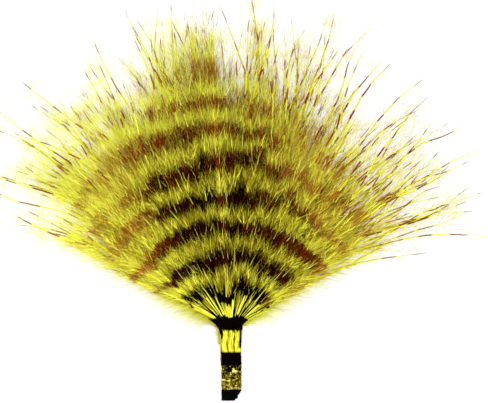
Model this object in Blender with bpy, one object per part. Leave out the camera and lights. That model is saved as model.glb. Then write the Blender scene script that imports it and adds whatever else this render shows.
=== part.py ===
"""A bunch of dyed marabou plumes, spread as a fan and held together by glue on its quill ends.

The bunch lies flat. Its quills run side by side up a narrow stem, turn outwards just above the
neck and spread into a fan of three layers. Each plume is one closed solid that ends in three
pointed locks. The lowest ends of the quills are set in a block of hardened glue.

Lengths are in millimetres until they reach a mesh. The fan opens towards +Y and is seen from +Z.
The origin is on the surface that the bunch rests on, under the middle of the fan.
"""
import math
import random

import bmesh
import bpy
import numpy as np

MM = 0.001
SEED = 11

# The stem and the fan, measured in the plane that the bunch lies on
STEM_WIDTH = 5.7
NECK_BEHIND_ORIGIN = 40.0
FAN_HALF_ANGLE = math.radians(62.5)
BEND_LENGTH = 5.0
GAP = 0.3

# The plumes, measured along their quills from the neck
PLUME_FOOT = -9.8
MIDDLE_LENGTH = 100.5
LENGTH_LOST_AT_SIDES = 17.0
LENGTH_SPREAD = 0.035
SWAY = 0.02
SWAY_WAVES = 7.0

# The layers from the surface up, with the plumes in each
LAYERS = (("back", 9), ("middle", 8), ("front", 9))
PLUME_SHARE = 1 / 9

# The height of all three layers together, at distances from the neck
FLUFF_STATIONS = (PLUME_FOOT, 0.0, 5.0, 18.0, 40.0, 60.0, 102.0)
FLUFF_HEIGHTS = (4.2, 4.2, 5.2, 8.4, 12.0, 10.4, 4.4)

# Each plume's columns from side to side: three long ones make the locks, four short ones part them
COLUMN_LENGTHS = (0.70, 0.93, 0.72, 1.0, 0.72, 0.93, 0.70)
COLUMN_CROWNS = (0.25, 0.85, 0.60, 1.0, 0.60, 0.85, 0.25)
TIP_THICKNESS = 0.4

# Rows at fixed distances from the neck, then rows at shares of what is left of each column
SHARED_ROWS = (PLUME_FOOT, 0.0, 2.5, BEND_LENGTH, 10.0, 18.0, 28.0, 40.0)
LOCK_ROWS = (0.25, 0.5, 0.75, 0.9, 1.0)

# Three bundles of quills show on the front of the stem
BUNDLES_DEPTH = 0.18

# The glued butt, measured from the neck: its right corner is broken off at the end
BUTT_TOP = PLUME_FOOT - GAP
BUTT_END = -21.0
BUTT_THICKNESS = 4.2
BUTT_LUMPS = 0.12
BUTT_SIDES = 16
BUTT_SQUARENESS = 0.45
BUTT_ROWS = (BUTT_TOP, -11.0, -12.1, -13.2, -14.4, -15.4, -16.8, -18.1, -19.5, -20.4, BUTT_END)
BROKEN_EDGE_ROWS = (BUTT_END, -20.4, -19.5, -18.1)
BROKEN_EDGE_X = (1.1, 1.8, 2.0, STEM_WIDTH / 2)

DYED_YELLOW = (0.62, 0.56, 0.02, 1.0)
LAYER_TONES = {"back": 0.7, "middle": 0.85, "front": 1.0}
GLUE_BLACK = (0.012, 0.011, 0.008, 1.0)


def clear_scene():
    """Removes whatever objects the file starts with."""
    for thing in list(bpy.data.objects):
        bpy.data.objects.remove(thing, do_unlink=True)


def plain_material(name, colour, roughness):
    """A Principled material of one colour."""
    material = bpy.data.materials.new(name)
    material.use_nodes = True
    shader = material.node_tree.nodes["Principled BSDF"]
    shader.inputs["Base Color"].default_value = colour
    shader.inputs["Roughness"].default_value = roughness
    shader.inputs["Metallic"].default_value = 0.0
    material.diffuse_color = colour
    return material


def quill_point(across, along):
    """The place on the surface of a point `along` the quill that stands at `across` in the stem.

    `across` runs from -1 at the stem's left side to 1 at its right. A quill goes straight up the
    stem, turns along one circular arc above the neck, and then goes straight on.
    """
    angle = across * FAN_HALF_ANGLE
    straight_in_stem = min(along, 0.0)
    on_arc = min(max(along, 0.0), BEND_LENGTH)
    beyond = max(along - BEND_LENGTH, 0.0)
    turned = angle * on_arc / BEND_LENGTH
    arc_x = on_arc * math.sin(turned / 2) * np.sinc(turned / (2 * math.pi))
    arc_y = on_arc * np.sinc(turned / math.pi)
    x = across * STEM_WIDTH / 2 + arc_x + beyond * math.sin(angle)
    y = straight_in_stem + arc_y + beyond * math.cos(angle)
    return x, y - NECK_BEHIND_ORIGIN


def quill_spacing(along):
    """How many millimetres one unit of `across` is wide at this distance from the neck."""
    return STEM_WIDTH / 2 + FAN_HALF_ANGLE * max(along, 0.0)


def fluff_height(along):
    """The height of all the layers together at this distance from the neck."""
    return float(np.interp(along, FLUFF_STATIONS, FLUFF_HEIGHTS))


def bundle_share(across, along):
    """Lowers the grooves between the three bundles of quills on the stem's front."""
    in_stem = 1 - min(max(along / BEND_LENGTH, 0.0), 1.0)
    groove = (1 - math.cos(3 * math.pi * across)) / 2
    return 1 - BUNDLES_DEPTH * in_stem * groove


def plume_vertex(middle, layer, phase, lengths, column, row):
    """The underside point of a plume's grid and how far its upper side stands above it."""
    side = (column - 3) / 3
    reach = lengths[column]
    if row < len(SHARED_ROWS):
        along = SHARED_ROWS[row]
    else:
        along = SHARED_ROWS[-1] + LOCK_ROWS[row - len(SHARED_ROWS)] * (reach - SHARED_ROWS[-1])
    half = PLUME_SHARE - GAP / 2 / quill_spacing(along)
    across = middle + side * half
    sway = SWAY * (max(along, 0.0) / MIDDLE_LENGTH) ** 2
    x, y = quill_point(across + sway * math.sin(SWAY_WAVES * across + phase), along)
    layer_height = fluff_height(along) / len(LAYERS)
    bottom = layer * layer_height + (GAP / 2 if layer else 0.0)
    full = layer_height - (GAP if layer else GAP / 2)
    thickness = full * COLUMN_CROWNS[column]
    if layer == len(LAYERS) - 1:
        thickness *= bundle_share(across, along)
    if row == len(SHARED_ROWS) + len(LOCK_ROWS) - 1:
        thickness = TIP_THICKNESS
    return x, y, bottom, thickness


def plume(name, middle, layer, colour, rng):
    """One plume: a grid laid along the quill, bent into the fan and extruded to its upper side."""
    phase = 2.0 * layer
    reach = MIDDLE_LENGTH - LENGTH_LOST_AT_SIDES * middle**2
    lengths = [reach * share * (1 + rng.uniform(-LENGTH_SPREAD, LENGTH_SPREAD)) for share in COLUMN_LENGTHS]
    columns = len(COLUMN_LENGTHS) - 1
    rows = len(SHARED_ROWS) + len(LOCK_ROWS) - 1
    mesh = bmesh.new()
    bmesh.ops.create_grid(mesh, x_segments=columns, y_segments=rows, size=1.0)
    thickness = mesh.verts.layers.float.new("thickness")
    for vertex in mesh.verts:
        column = round((vertex.co.x + 1) / 2 * columns)
        row = round((vertex.co.y + 1) / 2 * rows)
        x, y, z, rise = plume_vertex(middle, layer, phase, lengths, column, row)
        vertex.co = (x * MM, y * MM, z * MM)
        vertex[thickness] = rise * MM
    risen = bmesh.ops.extrude_face_region(mesh, geom=mesh.faces[:])["geom"]
    for vertex in risen:
        if isinstance(vertex, bmesh.types.BMVert):
            vertex.co.z += vertex[thickness]
    return finished(name, mesh, plain_material(f"{name}_dye", colour, 0.85))


def butt_ring(row, along):
    """One cross-section of the glued butt: a rounded box, lumpy all round, flat underneath."""
    left = -STEM_WIDTH / 2
    right = float(np.interp(along, BROKEN_EDGE_ROWS, BROKEN_EDGE_X))
    ring = []
    for side in range(BUTT_SIDES):
        turn = 2 * math.pi * (side + 0.5) / BUTT_SIDES
        lump = 1 - BUTT_LUMPS * (0.5 + 0.5 * math.sin(2.1 * row + 1.9 * side + 0.7 * row * math.cos(turn)))
        across = math.copysign(abs(math.cos(turn)) ** BUTT_SQUARENESS, math.cos(turn))
        up = math.copysign(abs(math.sin(turn)) ** BUTT_SQUARENESS, math.sin(turn))
        x = (left + right) / 2 + (right - left) / 2 * across * (1 + lump) / 2
        z = BUTT_THICKNESS / 2 * (1 + up * (lump if up > 0 else 1))
        ring.append((x * MM, (along - NECK_BEHIND_ORIGIN) * MM, z * MM))
    return ring


def glued_butt():
    """The block of hardened glue around the quill ends: rings along the stem, bridged and capped."""
    mesh = bmesh.new()
    rings = []
    for row, along in enumerate(BUTT_ROWS):
        rings.append([mesh.verts.new(point) for point in butt_ring(row, along)])
    for upper, lower in zip(rings, rings[1:]):
        for side in range(BUTT_SIDES):
            after = (side + 1) % BUTT_SIDES
            mesh.faces.new((upper[side], upper[after], lower[after], lower[side]))
    mesh.faces.new(rings[0])
    mesh.faces.new(rings[-1])
    return finished("glued_butt", mesh, plain_material("hardened_glue", GLUE_BLACK, 0.25))


def finished(name, mesh, material):
    """Turns a bmesh into a named object of triangles whose faces point out."""
    bmesh.ops.triangulate(mesh, faces=mesh.faces[:])
    bmesh.ops.recalc_face_normals(mesh, faces=mesh.faces[:])
    data = bpy.data.meshes.new(name)
    mesh.to_mesh(data)
    mesh.free()
    data.materials.append(material)
    made = bpy.data.objects.new(name, data)
    bpy.context.scene.collection.objects.link(made)
    return made


def main():
    """Builds the three layers of plumes and the butt that holds them."""
    clear_scene()
    rng = random.Random(SEED)
    for layer, (layer_name, count) in enumerate(LAYERS):
        tone = LAYER_TONES[layer_name]
        colour = [channel * tone for channel in DYED_YELLOW[:3]] + [1.0]
        for number in range(count):
            middle = (2 * number + 1 - count) * PLUME_SHARE
            plume(f"{layer_name}_plume_{number + 1}", middle, layer, colour, rng)
    glued_butt()


main()
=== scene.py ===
"""The looks of a fan-shaped bunch of dyed, dark-barred marabou plumes, set around its solids.

Each plume is grown barb by barb: thin tapered shafts that leave the stem, spread into the fan and
end in bare, barred spines, with thousands of fine barbules of down along them. The plumes are in
three layers. The butt is a crinkled block of hardened glue. Lengths are in millimetres inside the
shape functions and are turned into metres when a mesh is made.
"""
import math
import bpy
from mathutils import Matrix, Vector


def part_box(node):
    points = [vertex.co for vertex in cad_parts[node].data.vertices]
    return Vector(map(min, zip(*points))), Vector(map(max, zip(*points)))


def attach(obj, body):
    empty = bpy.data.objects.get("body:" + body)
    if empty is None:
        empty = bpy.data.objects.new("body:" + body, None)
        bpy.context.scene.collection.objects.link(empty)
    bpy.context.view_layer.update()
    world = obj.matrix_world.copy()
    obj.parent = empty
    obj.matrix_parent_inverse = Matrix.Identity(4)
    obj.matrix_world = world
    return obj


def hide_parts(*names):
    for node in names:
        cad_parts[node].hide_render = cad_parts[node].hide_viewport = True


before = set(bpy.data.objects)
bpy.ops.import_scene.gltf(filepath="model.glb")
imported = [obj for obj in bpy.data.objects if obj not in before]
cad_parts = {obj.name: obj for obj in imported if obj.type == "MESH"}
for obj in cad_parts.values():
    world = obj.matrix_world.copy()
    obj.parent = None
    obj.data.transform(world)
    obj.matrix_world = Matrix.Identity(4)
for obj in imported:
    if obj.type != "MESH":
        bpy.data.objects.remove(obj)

from types import SimpleNamespace

import bpy
import numpy as np

bl_info = {
    "name": "Barred Marabou Bunch",
    "version": (1, 0, 0),
    "blender": (4, 5, 0),
    "location": "View3D > Sidebar > Marabou",
    "description": "Barbs, down and glue for a fan-shaped bunch of dyed marabou plumes",
    "category": "Object",
}

MM = 0.001
LENGTH = {"subtype": "DISTANCE", "unit": "LENGTH"}

# The photograph's size, and the pixel of it where the neck is
PHOTO_WIDTH_PX = 488
PHOTO_HEIGHT_PX = 403
NECK_PX = (231, 331)

# Where the frame puts the bunch: the glue's top is this far below the neck
BUTT_TOP_TO_NECK = 10.1
NECK_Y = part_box("glued_butt")[1][1] / MM + BUTT_TOP_TO_NECK
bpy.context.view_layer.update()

# The kinds of barb: long ones that end in bare spines, ones that fill the plume, short bright ones
LONG, FILLING, SHORT = 0, 1, 2

# The fan's own shape, as the solids have it
STEM_WIDTH = 5.7
BEND_LENGTH = 5.0
PLUME_FOOT = -10.25
LAYERS = (("back", 9), ("middle", 8), ("front", 9))
PLUME_SHARE = 1 / 9
MIDDLE_LENGTH = 100.5
LENGTH_LOST_AT_SIDES = 17.0
SWAY = 0.02
SWAY_WAVES = 7.0
FLUFF_STATIONS = (PLUME_FOOT, 0.0, 5.0, 18.0, 40.0, 60.0, 102.0)
FLUFF_HEIGHTS = (4.2, 4.2, 5.2, 8.4, 12.0, 10.4, 4.4)

# The share of the layers' height that the barbs fill, at the neck and further out
BARBS_FILL_STATIONS = (0.0, 15.0)
BARBS_FILL = (1.0, 0.86)

# The places of a plume's three locks, from side to side, and the share of its length that they reach
LOCK_OFFSETS = (-0.67, 0.0, 0.67)
LOCK_LENGTHS = (0.93, 1.0, 0.93)

# How many of its things a plume has, depending on where it is, and the share of its strands that
# are pale, as a painted highlight
FEWER_LONG_AT_SIDES = 4
FILLING_SHARE_AT_RIGHT = 0.6
TIP_HAIRS = 1400
TIP_HAIRS_AT_LEFT = 2400
EDGE_HAIRS_AT_LEFT = 3000
EDGE_HAIRS_AT_RIGHT = 1300
GLINTS = 28
HIGHLIGHT_SHARE = 0.0015

# The middle of the barbs' tones and of the loose down's at the edge, from 0 for olive to 1 for lemon
PLUME_TONE = 0.31
EDGE_TONE = 0.82

# The bright tuft that stands out of the top of the down: its plume in the front layer, its place in
# that plume, how far it reaches and where its last bar ends
TUFT_PLUME = 4
TUFT_OFFSET = -0.8
TUFT_REACH = 90.0
TUFT_BAR_ENDS = 82.0

# The glued butt, measured from the neck, with the line of its broken right corner
BUTT_TOP = -10.3
BUTT_END = -21.0
BUTT_THICKNESS = 4.2
BROKEN_EDGE_ROWS = (-21.0, -20.5, -20.4, -19.5, -18.1)
BROKEN_EDGE_X = (1.1, 1.4, 1.95, 2.05, 3.1)

# The glue's skin: its rings and their points, and its crinkles as waves along, waves round and phase
GLUE_RINGS = 90
GLUE_SIDES = 96
CRINKLE_WAVES = (
    (1.1, 3.0, 0.4),
    (2.3, -4.0, 1.7),
    (3.9, 7.0, 2.9),
    (6.3, -11.0, 0.8),
    (9.7, 13.0, 2.2),
)

# Where the glue turns from green to gold on the way down, measured from the neck
GREEN_ABOVE = -13.0

# The map that carries the dye: its first coordinate is a barb's tone, its second the distance from
# the neck. Tones have one band for dark bars and one for brownish ones, and pale strands, most of
# them a painted highlight, a place past both
DYE_MAP = "OFBake"
MAP_FROM = -24.0
MAP_TO = 116.0
MAP_STEP = 0.003
DARK_BAND = (0.01, 0.45)
BROWN_BAND = (0.50, 0.94)
PALE_PLACE = 0.98
PALE_FROM = (BROWN_BAND[1] + 0.02 + PALE_PLACE) / 2

# Half the blur of a bar's edge, in bar spacings, and how fast the bars turn brown over the map
BAR_BLUR = 0.03
BROWNER_OUT = 2.3

# The cells side by side across the fan, and outwards, in which a bar sits a little further in or out
PATCHES = 27
BARS = 12

# Rings of a barb, which stand closer together near its root
BARB_RINGS = 15
RING_POWER = 1.25

# The widths between which a strand's is drawn, in the down and at the fan's lower edge. The down's
# gets up to a half finer further out
DOWN_WIDTHS = (0.05, 0.13)
EDGE_WIDTHS = (0.05, 0.11)

# The share of strands that cling to others, at distances from the neck
CLING_STATIONS = (10.0, 25.0, 60.0)
CLING_SHARES = (0.32, 0.26, 0.17)

# The down on a barb begins here, and ends this far past the end of its dense part
DOWN_BEGINS = -8.5
DOWN_RUNS_ON = 4.0

# The down is drawn as if the fan opened from a point this far below the neck
FAN_OPENS_BELOW = 14.0

# Between which places across the fan the bars are dark, at distances from the neck
DARK_STATIONS = (0.0, 22.0, 32.0, 41.0, 51.0, 60.0, 70.0, 78.0)
DARK_FROM = (-1.3, -1.05, -0.80, -0.72, -0.66, -0.60, -0.50, -0.25)
DARK_TO = (0.85, 1.00, 0.98, 0.60, 0.38, 0.45, 0.30, 0.10)

# How far the dense down reaches from the neck, at places across the fan, and how many times as far
# in the back layer
DOWN_ACROSS = (-1.0, -0.5, -0.13, -0.09, -0.05, 0.15, 0.5, 0.75, 1.0)
DOWN_REACH = (49.0, 72.0, 82.0, 104.0, 81.0, 76.0, 62.0, 50.0, 41.0)
BACK_REACHES_FURTHER = 1.10

# How much nearer to the neck than its even spacing a bar sits, at distances from the neck
LOWERED_STATIONS = (9.0, 21.0, 30.0, 40.0, 52.0, 60.0)
LOWERED_BY = (0.0, 0.6, 0.9, 1.6, 1.5, 0.8)

# How far out the bars of each front plume sit near the neck, from the left plume to the right
FRONT_BAR_SHIFTS = (0.8, 1.6, 1.2, -1.8, -2.4, 0.4, 0.6, 0.4, 0.4)

# The outermost barbs have no bars just above the neck: past these places, between these distances
BARE_PAST = (-0.90, 0.84)
BARE_BETWEEN = (6.0, 28.0)

# How many strands are loose at the stem's sides: pale, flared and clinging to its right
LOOSE_STRANDS = (4, 20, 8)

# The floor, the sky and the lamps: name, place, size and power
FLOOR_HALF = 2.0
SKY_STRENGTH = 1.4
LAMPS = (
    ("key_light", (-0.45, 0.55, 0.9), 0.5, 5.0),
    ("fill_light", (0.6, -0.3, 0.8), 0.8, 2.0),
)

# The camera's sensor in millimetres, and the height in metres at which a pixel has its stated size
SENSOR_WIDTH = 36.0
SHARP_HEIGHT = 0.005


class PlumeSettings(bpy.types.PropertyGroup):
    """Sizes of the plumes."""

    fan_half_angle: bpy.props.FloatProperty(
        name="Fan half angle",
        description="Angle between the middle of the fan and its outermost quill",
        default=math.radians(62.5),
        subtype="ANGLE",
    )
    stem_width: bpy.props.FloatProperty(
        name="Stem width",
        description="Width of the quills where they run side by side",
        default=STEM_WIDTH * MM,
        **LENGTH,
    )
    long_barbs: bpy.props.IntProperty(
        name="Long barbs", description="Barbs of a middle plume that end in bare spines", default=12
    )
    filling_barbs: bpy.props.IntProperty(
        name="Filling barbs", description="Shorter barbs of a plume that make it dense", default=38
    )
    short_barbs: bpy.props.IntProperty(
        name="Short barbs", description="Bright pointed barbs just above the neck", default=16
    )
    barbules: bpy.props.IntProperty(
        name="Barbules", description="Strands of down of a plume before they thin out", default=27000
    )
    barbule_length: bpy.props.FloatProperty(
        name="Barbule length",
        description="Length of a strand of down in the middle of the fan",
        default=3.6 * MM,
        **LENGTH,
    )
    barb_thickness: bpy.props.FloatProperty(
        name="Barb thickness",
        description="Thickness that a barb's own is worked out from, where it leaves the stem",
        default=0.34 * MM,
        **LENGTH,
    )
    seed: bpy.props.IntProperty(name="Seed", description="Start of the random draws", default=5)


class DyeSettings(bpy.types.PropertyGroup):
    """Colours of the dyed plumes and their bars, and the pale colour of the painted highlights."""

    # The shade colour is the olive of the darkest barbs, and also the painted shade in the stem's
    # grooves and in the down just above the neck.
    shade: bpy.props.FloatVectorProperty(
        name="Shade", description="Olive of the darkest barbs", subtype="COLOR",
        default=(0.105, 0.072, 0.002),
    )
    yellow: bpy.props.FloatVectorProperty(
        name="Yellow", description="Yellow of most barbs", subtype="COLOR",
        default=(0.45, 0.355, 0.006),
    )
    lemon: bpy.props.FloatVectorProperty(
        name="Lemon", description="Yellow of the brightest barbs", subtype="COLOR",
        default=(0.90, 0.91, 0.08),
    )
    tip_green: bpy.props.FloatVectorProperty(
        name="Tip green", description="Greener yellow of the outer spines", subtype="COLOR",
        default=(0.61, 0.62, 0.05),
    )
    haze: bpy.props.FloatVectorProperty(
        name="Haze", description="Pale green of the fine down far out", subtype="COLOR",
        default=(0.66, 0.67, 0.07),
    )
    # The pale colour is a painted highlight on the stray strands on top of the fan and on a few strands
    # of the down; the pale loose strands beside the glue have it too.
    pale: bpy.props.FloatVectorProperty(
        name="Pale", description="Stray strands on top, which have no bars", subtype="COLOR",
        default=(0.95, 0.96, 0.12),
    )
    bar_black: bpy.props.FloatVectorProperty(
        name="Bar near the neck", description="Bar colour low in the fan", subtype="COLOR",
        default=(0.003, 0.0012, 0.0013),
    )
    bar_maroon: bpy.props.FloatVectorProperty(
        name="Bar in the middle", description="Bar colour half way up", subtype="COLOR",
        default=(0.065, 0.0065, 0.002),
    )
    bar_brown: bpy.props.FloatVectorProperty(
        name="Bar near the tips", description="Bar colour of the outer down and spines", subtype="COLOR",
        default=(0.19, 0.034, 0.003),
    )
    bar_tan: bpy.props.FloatVectorProperty(
        name="Faint bar", description="Palest bar colour, at the fan's sides", subtype="COLOR",
        default=(0.40, 0.17, 0.02),
    )
    bar_spacing: bpy.props.FloatProperty(
        name="Bar spacing",
        description="Distance from one dark bar to the next",
        default=9.75 * MM,
        **LENGTH,
    )
    first_bar: bpy.props.FloatProperty(
        name="First bar",
        description="Distance from the neck to the middle of the first bar",
        default=2.55 * MM,
        **LENGTH,
    )
    bar_width: bpy.props.FloatProperty(
        name="Bar width",
        description="Width of a dark bar along the plume",
        default=4.2 * MM,
        **LENGTH,
    )


class ButtSettings(bpy.types.PropertyGroup):
    """Sizes and colours of the glued butt."""

    crinkle: bpy.props.FloatProperty(
        name="Crinkle",
        description="Height of the glue's crinkles",
        default=0.16 * MM,
        **LENGTH,
    )
    black_from: bpy.props.FloatProperty(
        name="Black end",
        description="Distance below the neck where the glue turns black",
        default=17.6 * MM,
        **LENGTH,
    )
    gold: bpy.props.FloatVectorProperty(
        name="Gold", description="Amber glue over yellow quills", subtype="COLOR",
        default=(0.18, 0.135, 0.005),
    )
    # The cream is the palest threads in the glue, and also painted highlights on its gloss.
    cream_and_highlight: bpy.props.FloatVectorProperty(
        name="Cream", description="Palest threads in the glue", subtype="COLOR",
        default=(0.70, 0.66, 0.17),
    )
    brown: bpy.props.FloatVectorProperty(
        name="Brown", description="Amber glue over dark quills", subtype="COLOR",
        default=(0.045, 0.030, 0.001),
    )
    green: bpy.props.FloatVectorProperty(
        name="Green", description="Glue over olive quills", subtype="COLOR",
        default=(0.030, 0.030, 0.005),
    )
    green_black: bpy.props.FloatVectorProperty(
        name="Green black", description="Dark glue", subtype="COLOR",
        default=(0.0004, 0.0006, 0.0004),
    )


class StageSettings(bpy.types.PropertyGroup):
    """Floor, lights and camera."""

    floor_colour: bpy.props.FloatVectorProperty(
        name="Floor", description="Colour of the floor", subtype="COLOR", default=(0.15, 0.15, 0.15)
    )
    floor_glow: bpy.props.FloatProperty(
        name="Floor glow", description="Light that the floor itself gives", default=0.83
    )
    camera_height: bpy.props.FloatProperty(
        name="Camera height",
        description="Height of the camera above the surface",
        default=0.75,
        **LENGTH,
    )
    pixel_size: bpy.props.FloatProperty(
        name="Pixel size",
        description="Width on the object of one pixel of the photograph",
        default=0.3 * MM,
        **LENGTH,
    )


def smooth(x):
    """The smooth step: 0 below 0, 1 above 1, and 3x squared minus 2x cubed between them."""
    x = np.clip(x, 0.0, 1.0)
    return x * x * (3 - 2 * x)


def bell(x, middle, width):
    """A bell curve, 1 at its middle: e to the power of minus the square of the distance in widths."""
    return np.exp(-(((x - middle) / width) ** 2))


def column(values):
    """One number for each barb or strand, as a column that goes with a row for each of them."""
    return values[:, None]


def quill(across, along, plan):
    """Places and headings along quills that stand side by side in the stem.

    A quill stands at `across` (-1 at the stem's left side, 1 at its right), goes straight up,
    turns along one circular arc above the neck to its own heading, and goes straight on. A chord
    of that arc is its length times the sinc of half the angle turned.
    """
    angle = across * plan.turn
    on_arc = np.clip(along, 0.0, BEND_LENGTH)
    beyond = np.maximum(along - BEND_LENGTH, 0.0)
    turned = angle * on_arc / BEND_LENGTH
    x = across * plan.stem_half + on_arc * np.sin(turned / 2) * np.sinc(turned / (2 * np.pi))
    y = np.minimum(along, 0.0) + on_arc * np.sinc(turned / np.pi)
    return x + beyond * np.sin(angle), y + beyond * np.cos(angle), turned


def fluff_height(along):
    """The height of the three layers together at this distance from the neck."""
    return np.interp(along, FLUFF_STATIONS, FLUFF_HEIGHTS)


def barbs_height(along):
    """The height that the barbs themselves fill, which leaves room for the down above them."""
    return fluff_height(along) * np.interp(along, BARBS_FILL_STATIONS, BARBS_FILL)


def long_tips(lock, plan, rng):
    """How far from the neck the long barbs end: at 0.65 to 1.03 of their own lock's length.

    The plumes at the left are a little longer.
    """
    reach = MIDDLE_LENGTH - LENGTH_LOST_AT_SIDES * plan.middle**2
    reach = reach * np.array(LOCK_LENGTHS)[lock]
    tips = reach * (1.03 - 0.38 * rng.uniform(size=len(lock)) ** 1.1)
    return tips * (1.0 + 0.04 * (plan.middle < -0.3))


def barb_offsets(kind, lock, plan, rng):
    """Where each barb stands in its plume, from side to side, and which barbs make the bright tuft.

    The front plumes' long barbs stand in three locks. In the plumes nearest the fan's sides many
    long barbs stand further in. Every third filling barb of one plume belongs to the tuft.
    """
    count = len(kind)
    in_lock = np.array(LOCK_OFFSETS)[lock] + 0.4 * rng.normal(size=count)
    offset = np.where((kind == LONG) & (plan.layer == 2), in_lock, rng.uniform(-1.1, 1.1, count))
    inwards = (kind == LONG) & (rng.uniform(size=count) < 0.6) & (abs(plan.middle) > 0.8)
    offset = offset - 1.3 * np.sign(plan.middle) * inwards
    tuft = plan.tuft & (kind == FILLING) & (np.arange(count) % 3 == 0)
    return np.where(tuft, TUFT_OFFSET + 0.17 * rng.normal(size=count), offset), tuft


def barb_tips(kind, long_tip, down_reach, tuft, rng):
    """How far from the neck each barb ends. Outside the tuft, filling barbs end within the down."""
    count = len(kind)
    filling = down_reach * rng.uniform(0.45, 1.0, count)
    filling = np.where(tuft, TUFT_REACH * rng.uniform(0.8, 1.0, count), filling)
    short = rng.uniform(5.0, 19.0, count)
    return np.select((kind == LONG, kind == FILLING), (long_tip, filling), short)


def barb_tones(kind, tuft, rng):
    """The tone of each barb: the tuft's and the short ones are bright."""
    count = len(kind)
    own_tone = rng.normal(PLUME_TONE, 0.13, count) + 0.6 * tuft
    tone = np.where(kind == SHORT, rng.uniform(0.65, 1.15, count), own_tone)
    return np.clip(tone, 0.03, 1.0)


def barb_table(plan, rng):
    """One row of numbers for each barb of a plume: where it starts, ends, leans and how it is dyed."""
    kind = np.repeat((LONG, FILLING, SHORT), (plan.long_barbs, plan.filling_barbs, plan.short_barbs))
    count = len(kind)
    lock = rng.integers(0, 3, count)
    long_tip = long_tips(lock, plan, rng)
    offset, tuft = barb_offsets(kind, lock, plan, rng)
    across = plan.middle + offset * PLUME_SHARE
    down_reach = down_reaches(across, plan)
    tip = barb_tips(kind, long_tip, down_reach, tuft, rng)
    in_stem = (kind == SHORT) | (rng.uniform(size=count) < 0.5)
    long_bare = np.maximum(tip - down_reach - rng.normal(0.0, 10.0, count), 4.0)
    bare = np.select((kind == LONG, kind == FILLING), (long_bare, rng.uniform(1.0, 9.0, count)), 5.0)
    tone = barb_tones(kind, tuft, rng)
    long_broad = 1.95 - 0.25 * smooth(np.abs(across) / 0.9)
    broad = np.where(kind == LONG, long_broad, 0.8 - 0.56 * left_out(across, 30.0))
    height = rng.uniform(0.05, 0.95, count)
    height = np.select((kind == LONG, kind == FILLING), (0.75 * height, height), 0.55 + 0.5 * height)
    sweep = 0.7 * smooth((np.abs(across) - 0.3) / 0.4)
    outward = np.clip(rng.normal(sweep, 0.9, (2, count)), -1.8, 1.8)
    splay, curl = np.sign(across) * outward * (kind == LONG)
    return SimpleNamespace(
        count=count,
        kind=kind,
        root=np.where(in_stem, PLUME_FOOT, rng.uniform(0.0, 30.0, count)),
        tip=tip,
        offset=offset,
        in_stem=in_stem,
        fluff_end=np.maximum(tip - bare, 4.0),
        height=height,
        lean=np.clip(rng.normal(0.0, 1.0, count), -1.9, 1.9),
        splay=splay,
        curl=curl,
        wave_phase=rng.uniform(0, 2 * np.pi, count),
        wave_length=rng.uniform(22.0, 45.0, count),
        tone=tone,
        bar_shift=rng.normal(0.0, 1.0, count) * np.where(kind == LONG, 1.0, 1.1 - 0.8 * tuft),
        black=(kind == SHORT) & (rng.uniform(size=count) < 0.22),
        unbarred=(kind == SHORT) & (rng.uniform(size=count) < 0.24),
        thickness=plan.thickness * rng.uniform(0.75, 1.25, count) * (broad + 0.3 * (kind == SHORT)),
        across=across,
        darkness=rng.uniform(size=count),
        tuft=tuft,
    )


def sideways(barbs, along, free, gathered, plan):
    """How far the barbs' middle lines stand beside their quills' own lines.

    It is the sum of a slow wave, a twist where the quills are gathered in the stem, a bend of the
    bare tip, and for the long barbs a splay and a curl that grow with the distance from the neck.
    """
    phase = column(barbs.wave_phase)
    wave = np.sin(2 * np.pi * along / column(barbs.wave_length) + phase)
    swing = 0.45 + 0.35 * (column(barbs.kind) == LONG) * smooth((along - 42.0) / 30.0)
    side = swing * wave * smooth(along / 25.0) + 0.24 * gathered * np.sin(0.9 * along + phase)
    side = side + free**1.8 * (2.2 * column(barbs.lean) + 0.8 * plan.middle)
    side = side + 0.09 * column(barbs.splay) * np.maximum(along - 42.0, 0.0)
    return side + 0.0020 * column(barbs.curl) * np.maximum(along - 28.0, 0.0) ** 2


def stem_grooves(barbs, across, along, gathered):
    """1 in the winding grooves between the stem's three bundles of quills, and 0 on the bundles."""
    turn = 3 * np.pi * across + 0.9 * np.sin(1.1 * along)
    turn = turn + 0.5 * np.sin(2.3 * along + column(barbs.wave_phase))
    return gathered * (1.0 - np.cos(turn)) / 2


def line_heights(barbs, along, free, groove, plan):
    """The height of each place on the barbs: in its own layer, and lower in the stem's grooves.

    The bare tips lift or sink, more the further they run free of the down.
    """
    layer_height = barbs_height(along) / len(LAYERS)
    share = column(barbs.height) * (1.0 - 0.5 * groove * (plan.layer == 2))
    z = layer_height * (plan.layer + share)
    return np.maximum(z + 0.8 * free * np.sin(3.0 * column(barbs.lean)), 0.25)


def line_tones(barbs, across, along, gathered, groove):
    """The tone of each place on the barbs.

    To a barb's own tone comes more at the fan's sides, on the bundles in the stem, on the bare
    spines, at the left edge and far out at the left. The grooves in the stem get painted shade.
    """
    sides = 0.26 * smooth((np.abs(across) - 0.25) / 0.6) * smooth((along - 5.0) / 20.0)
    sides = sides - 0.05 * bell(across, -0.1, 0.35)
    # Painted shade: the tone falls in the stem's grooves between the bundles.
    tone = column(barbs.tone) + sides + gathered * (0.42 - 1.3 * groove**1.5)
    tone = tone + 0.45 * (column(barbs.kind) == LONG) * smooth((along - 45.0) / 20.0)
    tone = tone + 0.12 * smooth((-across - 0.78) / 0.12) * smooth((along - 5.0) / 15.0)
    return tone + 0.25 * smooth((-across - 0.15) / 0.3) * smooth((along - 48.0) / 12.0)


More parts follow.
